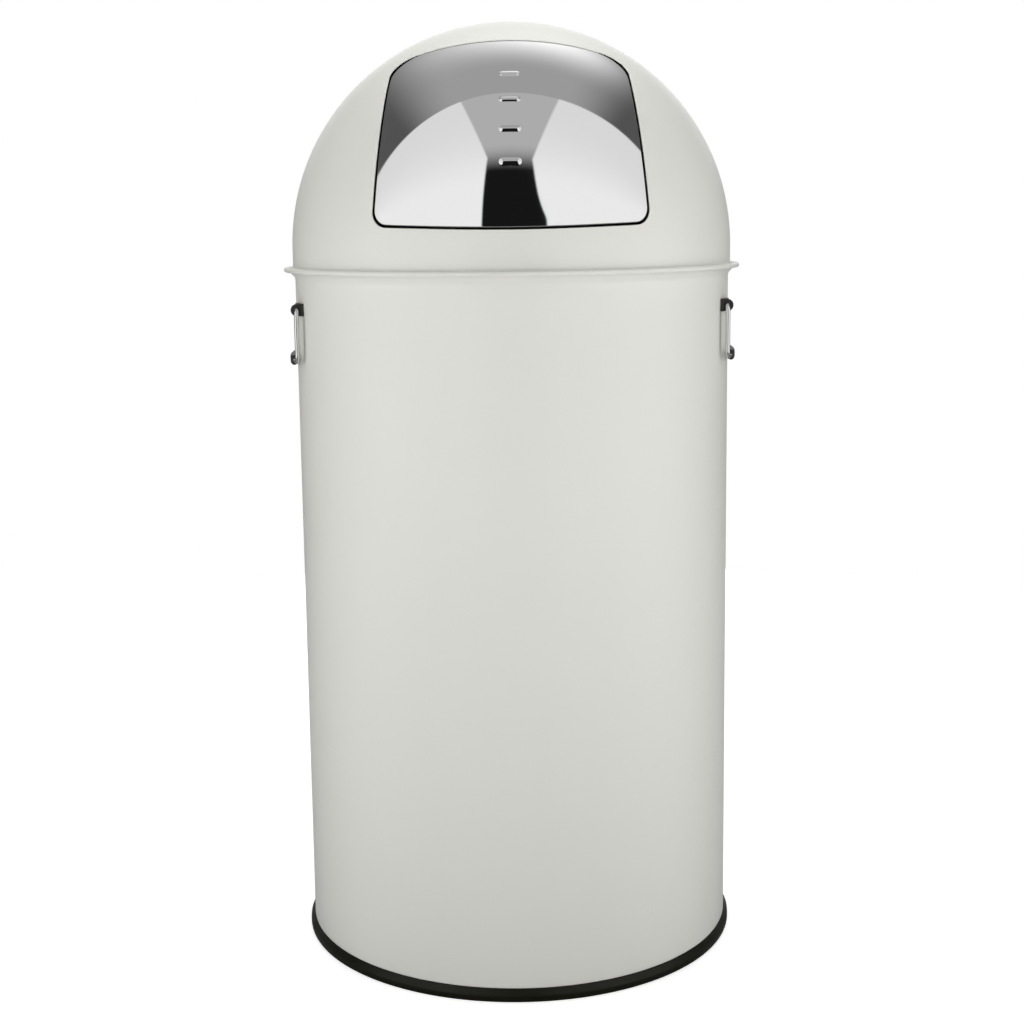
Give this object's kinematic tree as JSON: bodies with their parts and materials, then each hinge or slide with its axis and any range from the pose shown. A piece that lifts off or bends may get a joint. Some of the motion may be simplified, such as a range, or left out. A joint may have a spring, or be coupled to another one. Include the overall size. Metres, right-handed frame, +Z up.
{
  "type": "push-top waste can",
  "caption": "Free-standing domed waste can: straight painted steel body, chromed sprung push flap, lift-off lid, lift-out galvanised liner with a bail, and hinged side handles.",
  "frame": {"origin": "centre of the can's foot, on the floor", "axes": "+Z up along the can's axis, -Y towards the push flap, +X to the right seen from the front"},
  "size_m": [0.3572, 0.3571, 0.723],
  "materials": {
    "body_paint": "cream-white baked enamel, semi-matt",
    "flap_chrome": "polished chrome plate",
    "wire_chrome": "bright plated wire",
    "black_plastic": "moulded black, fine grain",
    "foot_plastic": "moulded black, soft sheen",
    "galvanised": "galvanised sheet with faint spangle",
    "zinc_steel": "zinc plated",
    "spring_steel": "oiled spring wire"
  },
  "bodies": {
    "can": {"body_shell": "body_paint", "base_plate": "galvanised", "base_ring": "foot_plastic", "right_handle_ears": "black_plastic", "left_handle_ears": "black_plastic", "right_ear_screws": "zinc_steel", "left_ear_screws": "zinc_steel", "right_ear_nuts": "zinc_steel", "left_ear_nuts": "zinc_steel"},
    "right_handle": {"right_handle_bail": "wire_chrome", "right_handle_grip": "black_plastic"},
    "left_handle": {"left_handle_bail": "wire_chrome", "left_handle_grip": "black_plastic"},
    "liner": {"liner_wall": "galvanised", "liner_bottom": "galvanised", "liner_lugs": "galvanised", "lug_rivets": "zinc_steel"},
    "liner_handle": {"liner_bail": "galvanised"},
    "lid": {"lid_dome": "body_paint", "right_hinge_bracket": "zinc_steel", "left_hinge_bracket": "zinc_steel", "hinge_pin": "zinc_steel", "pin_clips": "zinc_steel"},
    "flap": {"flap_panel": "flap_chrome", "flap_hinge_leaf": "zinc_steel", "right_flap_ear": "zinc_steel", "left_flap_ear": "zinc_steel", "right_torsion_spring": "spring_steel", "left_torsion_spring": "spring_steel"}
  },
  "joints": [
    {"name": "liner_lift", "type": "slide", "parent": "can", "child": "liner", "axis": [0, 0, 1], "range_m": [0, 0.56]},
    {"name": "lid_lift", "type": "slide", "parent": "liner", "child": "lid", "axis": [0, 0, 1], "range_m": [0, 0.3]},
    {"name": "flap_swing", "type": "hinge", "parent": "lid", "child": "flap", "pos_m": [0, -0.0535, 0.68735], "axis": [1, 0, 0], "range_deg": [0, 60], "stiffness_Nm_per_rad": 0.25, "springref_deg": -80.21},
    {"name": "liner_bail_swing", "type": "hinge", "parent": "liner", "child": "liner_handle", "pos_m": [0, 0, 0.474], "axis": [1, 0, 0], "range_deg": [0, 114]},
    {"name": "right_handle_swing", "type": "hinge", "parent": "can", "child": "right_handle", "pos_m": [0.16302, 0, 0.507], "axis": [0, -1, 0], "range_deg": [0, 95]},
    {"name": "left_handle_swing", "type": "hinge", "parent": "can", "child": "left_handle", "pos_m": [-0.16302, 0, 0.507], "axis": [0, 1, 0], "range_deg": [0, 95]}
  ]
}
